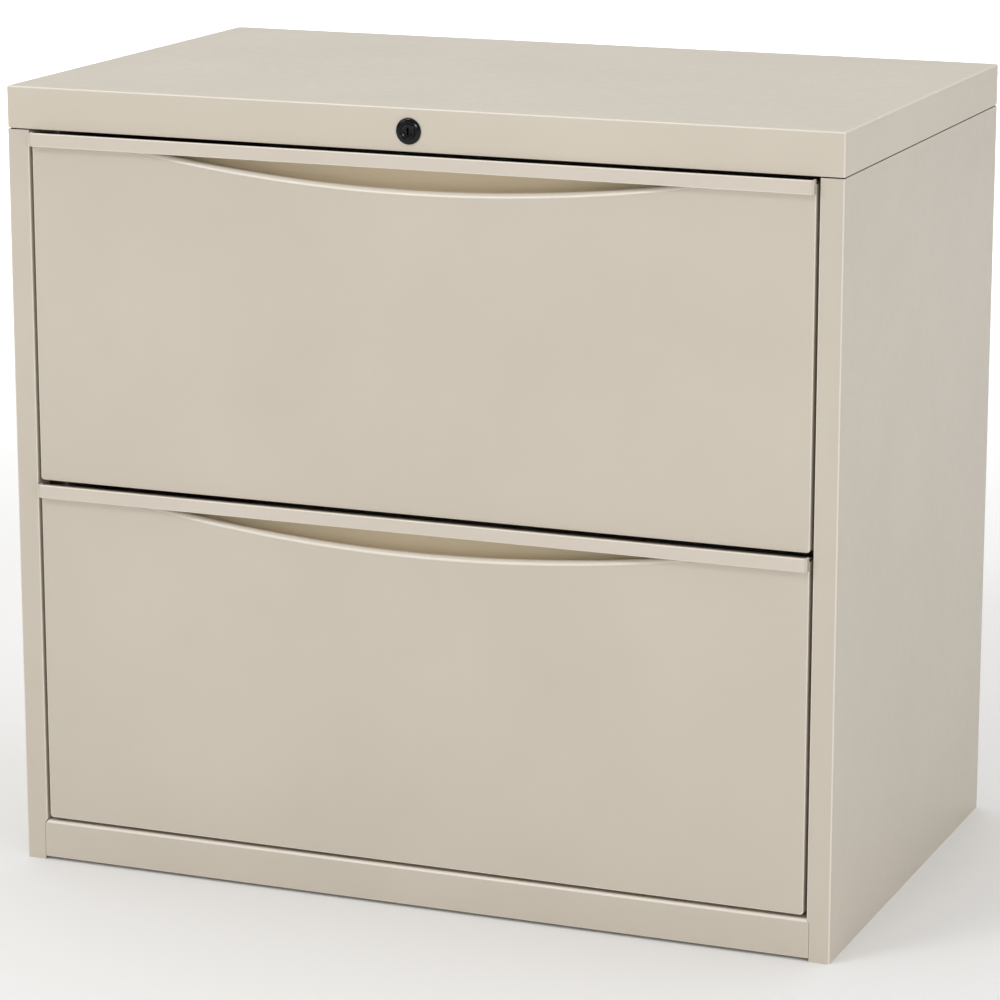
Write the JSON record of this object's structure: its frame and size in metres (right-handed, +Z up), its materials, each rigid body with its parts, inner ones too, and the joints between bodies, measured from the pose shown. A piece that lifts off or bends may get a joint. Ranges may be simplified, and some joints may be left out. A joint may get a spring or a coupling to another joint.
{
  "type": "lateral filing cabinet",
  "caption": "Low, wide steel lateral filing cabinet with flush drawer fronts, full-width pull strips over arched finger recesses, and a central lock.",
  "frame": {"origin": "on the floor, under the middle of the cabinet's whole width and depth, pulls included", "axes": "+X across the width to the right as seen from the front, -Y out of the front where the drawers open, +Z up"},
  "size_m": [0.762, 0.473, 0.705],
  "materials": {
    "case_paint": "satin putty powder coat",
    "drawer_paint": "satin putty powder coat",
    "pull_paint": "satin putty powder coat",
    "inner_paint": "thin matt putty powder coat",
    "end_cap_plastic": "moulded, fine matt",
    "slide_zinc": "zinc plated",
    "plated_steel": "zinc plated",
    "bearing_steel": "bright",
    "glide_nickel": "nickel plated",
    "lock_black": "black gloss",
    "bumper_rubber": "matt",
    "ballast_steel": "mill scale"
  },
  "bodies": {
    "case": {"top_cap": "case_paint", "left_side_panel": "case_paint", "right_side_panel": "case_paint", "back_panel": "case_paint", "base_rail": "case_paint", "base_pan": "case_paint", "rear_base_channel": "case_paint", "counterweight": "ballast_steel", "left_front_post": "inner_paint", "right_front_post": "inner_paint", "left_rear_post": "inner_paint", "right_rear_post": "inner_paint", "top_front_channel": "inner_paint", "lock_housing": "lock_black", "lock_nut": "plated_steel", "lock_bar_guides": "plated_steel", "latch_guides": "plated_steel", "glide_nuts": "plated_steel", "slide_rivets": "plated_steel", "slide_bumpers": "bumper_rubber", "upper_left_cabinet_slide": "slide_zinc", "upper_right_cabinet_slide": "slide_zinc", "lower_left_cabinet_slide": "slide_zinc", "lower_right_cabinet_slide": "slide_zinc"},
    "upper_drawer": {"upper_drawer_front": "drawer_paint", "upper_pull": "pull_paint", "upper_pull_end_caps": "end_cap_plastic", "upper_inner_front": "drawer_paint", "upper_tray": "drawer_paint", "upper_tray_back": "drawer_paint", "upper_hang_rails": "slide_zinc", "upper_catch": "plated_steel", "upper_left_drawer_slide": "slide_zinc", "upper_right_drawer_slide": "slide_zinc"},
    "lower_drawer": {"lower_drawer_front": "drawer_paint", "lower_pull": "pull_paint", "lower_pull_end_caps": "end_cap_plastic", "lower_inner_front": "drawer_paint", "lower_tray": "drawer_paint", "lower_tray_back": "drawer_paint", "lower_hang_rails": "slide_zinc", "lower_catch": "plated_steel", "lower_left_drawer_slide": "slide_zinc", "lower_right_drawer_slide": "slide_zinc"},
    "upper_middle_slides": {"upper_left_middle_slide": "slide_zinc", "upper_right_middle_slide": "slide_zinc"},
    "lower_middle_slides": {"lower_left_middle_slide": "slide_zinc", "lower_right_middle_slide": "slide_zinc"},
    "upper_outer_cages": {"upper_outer_ball_cages": "bearing_steel"},
    "upper_inner_cages": {"upper_inner_ball_cages": "bearing_steel"},
    "lower_outer_cages": {"lower_outer_ball_cages": "bearing_steel"},
    "lower_inner_cages": {"lower_inner_ball_cages": "bearing_steel"},
    "lock_plug": {"lock_plug": "lock_black", "lock_cam": "plated_steel"},
    "lock_bar": {"lock_bar": "plated_steel"},
    "latch_rod": {"latch_rod": "plated_steel"},
    "left_front_glide": {"left_front_glide": "glide_nickel"},
    "right_front_glide": {"right_front_glide": "glide_nickel"},
    "left_rear_glide": {"left_rear_glide": "glide_nickel"},
    "right_rear_glide": {"right_rear_glide": "glide_nickel"}
  },
  "joints": [
    {"name": "upper_drawer_slide", "type": "slide", "parent": "case", "child": "upper_drawer", "axis": [0, -1, 0], "range_m": [0, 0.4]},
    {"name": "upper_middle_slide_travel", "type": "slide", "parent": "case", "child": "upper_middle_slides", "axis": [0, -1, 0], "range_m": [0, 0.2]},
    {"name": "upper_outer_cage_travel", "type": "slide", "parent": "case", "child": "upper_outer_cages", "axis": [0, -1, 0], "range_m": [0, 0.1]},
    {"name": "upper_inner_cage_travel", "type": "slide", "parent": "case", "child": "upper_inner_cages", "axis": [0, -1, 0], "range_m": [0, 0.3]},
    {"name": "lower_drawer_slide", "type": "slide", "parent": "case", "child": "lower_drawer", "axis": [0, -1, 0], "range_m": [0, 0.4]},
    {"name": "lower_middle_slide_travel", "type": "slide", "parent": "case", "child": "lower_middle_slides", "axis": [0, -1, 0], "range_m": [0, 0.2]},
    {"name": "lower_outer_cage_travel", "type": "slide", "parent": "case", "child": "lower_outer_cages", "axis": [0, -1, 0], "range_m": [0, 0.1]},
    {"name": "lower_inner_cage_travel", "type": "slide", "parent": "case", "child": "lower_inner_cages", "axis": [0, -1, 0], "range_m": [0, 0.3]},
    {"name": "lock_turn", "type": "hinge", "parent": "case", "child": "lock_plug", "pos_m": [0, -0.2305, 0.6853], "axis": [0, 1, 0], "range_deg": [0, 90]},
    {"name": "lock_bar_slide", "type": "slide", "parent": "case", "child": "lock_bar", "axis": [1, 0, 0], "range_m": [0, 0.0099]},
    {"name": "latch_rod_drop", "type": "slide", "parent": "case", "child": "latch_rod", "axis": [0, 0, -1], "range_m": [0, 0.0099]},
    {"name": "left_front_glide_screw", "type": "slide", "parent": "case", "child": "left_front_glide", "axis": [0, 0, -1], "range_m": [0, 0.015]},
    {"name": "right_front_glide_screw", "type": "slide", "parent": "case", "child": "right_front_glide", "axis": [0, 0, -1], "range_m": [0, 0.015]},
    {"name": "left_rear_glide_screw", "type": "slide", "parent": "case", "child": "left_rear_glide", "axis": [0, 0, -1], "range_m": [0, 0.015]},
    {"name": "right_rear_glide_screw", "type": "slide", "parent": "case", "child": "right_rear_glide", "axis": [0, 0, -1], "range_m": [0, 0.015]}
  ],
  "couplings": [
    {"joint": "upper_middle_slide_travel", "follows": "upper_drawer_slide", "ratio": 0.5},
    {"joint": "upper_outer_cage_travel", "follows": "upper_drawer_slide", "ratio": 0.25},
    {"joint": "upper_inner_cage_travel", "follows": "upper_drawer_slide", "ratio": 0.75},
    {"joint": "lower_middle_slide_travel", "follows": "lower_drawer_slide", "ratio": 0.5},
    {"joint": "lower_outer_cage_travel", "follows": "lower_drawer_slide", "ratio": 0.25},
    {"joint": "lower_inner_cage_travel", "follows": "lower_drawer_slide", "ratio": 0.75},
    {"joint": "lock_turn", "follows": "lock_bar_slide", "rad_per_m": 158.66},
    {"joint": "latch_rod_drop", "follows": "lock_bar_slide", "ratio": 1}
  ]
}
